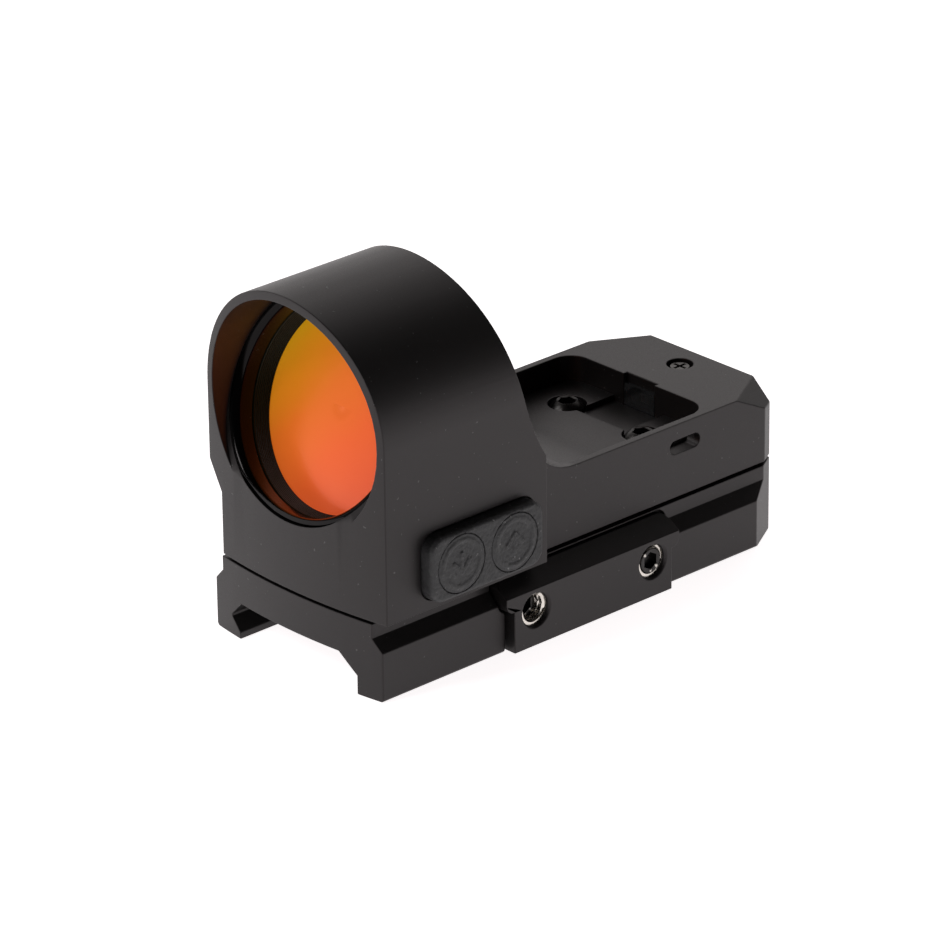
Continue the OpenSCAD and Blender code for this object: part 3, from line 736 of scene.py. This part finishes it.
def studio():
    """A pale floor, a surround that is bright behind the object and below it, and two soft boxes."""
    floor_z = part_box("rail_base")[0].z
    mesh = bpy.data.meshes.new("floor")
    reach = 3.0
    mesh.from_pydata([(x, y, floor_z) for x, y in
                      ((-reach, -reach), (reach, -reach), (reach, reach), (-reach, reach))],
                     [], [(0, 1, 2, 3)])
    floor = bpy.data.objects.new("floor", mesh)
    bpy.context.scene.collection.objects.link(floor)
    material, tree, shader = new_material("floor")
    paper = noise_at(tree, 30.0)
    link(tree, ramp(tree, paper, [(0.3, (0.90, 0.90, 0.90)), (0.7, (0.92, 0.92, 0.92))]),
         shader.inputs["Base Color"])
    shader.inputs["Roughness"].default_value = 0.9
    shader.inputs["Specular IOR Level"].default_value = 0.0
    shader.inputs["Emission Color"].default_value = (1.0, 0.965, 0.97, 1.0)
    shader.inputs["Emission Strength"].default_value = 0.95
    mesh.materials.append(material)

    world = bpy.data.worlds.new("surround")
    world.use_nodes = True
    bpy.context.scene.world = world
    tree = world.node_tree
    back = tree.nodes["Background"]
    direction = add(tree, "ShaderNodeTexCoord").outputs["Generated"]
    toward = add(tree, "ShaderNodeVectorMath", operation="DOT_PRODUCT")
    link(tree, direction, toward.inputs[0])
    toward.inputs[1].default_value = BACKDROP_SIDE
    backdrop = spread(tree, toward.outputs["Value"], 0.50, 0.93, 0.0, 1.0)
    split = add(tree, "ShaderNodeSeparateXYZ")
    link(tree, direction, split.inputs["Vector"])
    below = spread(tree, split.outputs["Z"], 0.10, -0.10, 0.0, 1.0)
    lens_side = add(tree, "ShaderNodeVectorMath", operation="DOT_PRODUCT")
    link(tree, direction, lens_side.inputs[0])
    lens_side.inputs[1].default_value = LENS_SIDE
    panel = spread(tree, lens_side.outputs["Value"], 0.80, 0.98, 0.0, 0.26)
    upper = add(tree, "ShaderNodeMath", operation="MAXIMUM")
    link(tree, backdrop, upper.inputs[0])
    link(tree, panel, upper.inputs[1])
    lit = add(tree, "ShaderNodeMath", operation="MAXIMUM")
    link(tree, upper.outputs["Value"], lit.inputs[0])
    link(tree, below, lit.inputs[1])
    link(tree, ramp(tree, lit.outputs["Value"], [(0.0, (0.018, 0.017, 0.017)), (1.0, (1.0, 0.96, 0.95))]),
         back.inputs["Color"])
    back.inputs["Strength"].default_value = 1.0

    def soft_box(name, direction, distance, size, power):
        light = bpy.data.lights.new(name, "AREA")
        light.shape = "RECTANGLE"
        light.size, light.size_y = size
        light.energy = power
        lamp = bpy.data.objects.new(name, light)
        bpy.context.scene.collection.objects.link(lamp)
        aim = Vector(direction).normalized()
        lamp.location = Vector((0, 0, 0.02)) + aim * distance
        lamp.rotation_mode = "QUATERNION"
        lamp.rotation_quaternion = aim.to_track_quat("Z", "Y")
        lamp.visible_camera = False

    soft_box("key", (-0.55, -0.55, 0.75), 0.9, (0.35, 0.35), 1.2)
    soft_box("lip", (-0.154, -0.718, 0.678), 0.9, (0.12, 0.22), 1.0)


def camera():
    """The camera of a product shot: three-quarter front, from the button side, slightly above."""
    azimuth, elevation, roll = (math.radians(a) for a in (47.35, 24.24, -0.64))
    back = Vector((math.sin(azimuth) * math.cos(elevation), -math.cos(azimuth) * math.cos(elevation),
                   math.sin(elevation)))
    level = Vector((math.cos(azimuth), math.sin(azimuth), 0.0))
    upward = back.cross(level)
    right = level * math.cos(roll) + upward * math.sin(roll)
    up = upward * math.cos(roll) - level * math.sin(roll)
    data = bpy.data.cameras.new("camera")
    data.sensor_width = 36.0
    data.lens = 227.8
    data.clip_start, data.clip_end = 0.05, 20.0
    shot = bpy.data.objects.new("camera", data)
    bpy.context.scene.collection.objects.link(shot)
    matrix = Matrix((right, up, back)).transposed().to_4x4()
    matrix.translation = Vector((480.73, -444.24, 304.95)) * MM
    shot.matrix_world = matrix
    bpy.context.scene.camera = shot


studio()
camera()
bpy.context.scene.view_settings.view_transform = "Standard"

bpy.context.view_layer.update()
